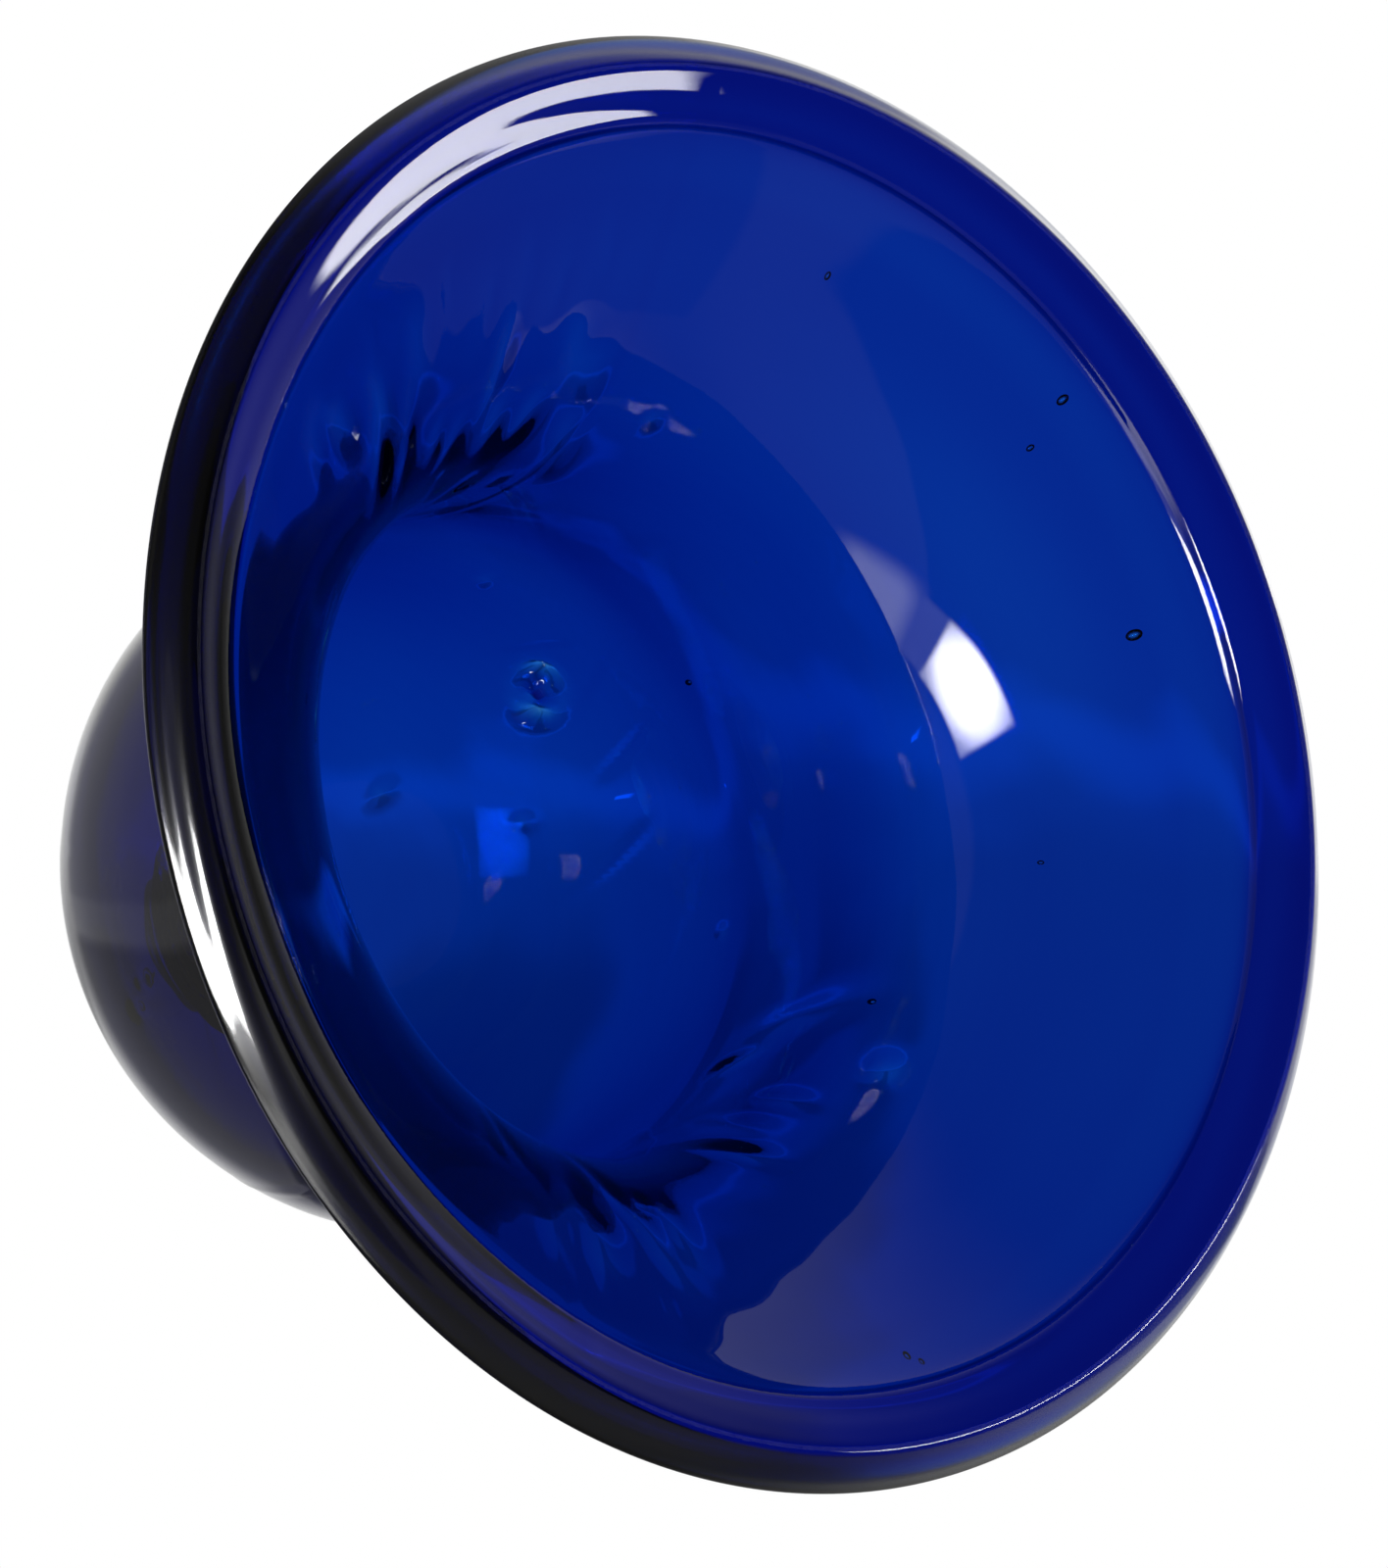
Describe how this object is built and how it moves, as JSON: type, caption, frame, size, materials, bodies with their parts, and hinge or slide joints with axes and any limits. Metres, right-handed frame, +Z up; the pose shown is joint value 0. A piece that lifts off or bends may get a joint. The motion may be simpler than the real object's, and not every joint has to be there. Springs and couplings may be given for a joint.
{
  "type": "hanging glass bell",
  "caption": "Hanging bell of clear cobalt-blue glass with a globe crown, waist, wide flared skirt and flanged rim, and a bolted crown fitting with a swinging ring.",
  "frame": {"origin": "on the bell's axis, in the plane of the mouth on which the rim rests", "axes": "+Z up the bell's axis from the mouth to the crown; the hanging ring stands in the XZ plane and swings about an axis along X"},
  "size_m": [0.15, 0.15, 0.1296],
  "materials": {
    "cobalt_glass": "clear, fire-polished, with chill wrinkles and small seeds",
    "aged_brass": "aged satin",
    "black_rubber": "matt"
  },
  "bodies": {
    "bell": {"bell_shell": "cobalt_glass", "hanger_bolt": "aged_brass", "crown_cap": "aged_brass", "outer_gasket": "black_rubber", "inner_gasket": "black_rubber", "inner_washer": "aged_brass", "clamp_nut": "aged_brass", "lock_nut": "aged_brass"},
    "ring": {"hanging_ring": "aged_brass"}
  },
  "joints": [
    {"name": "ring_swing", "type": "hinge", "parent": "bell", "child": "ring", "pos_m": [0, 0, 0.11265], "axis": [1, 0, 0], "range_deg": [-122, 122]}
  ]
}
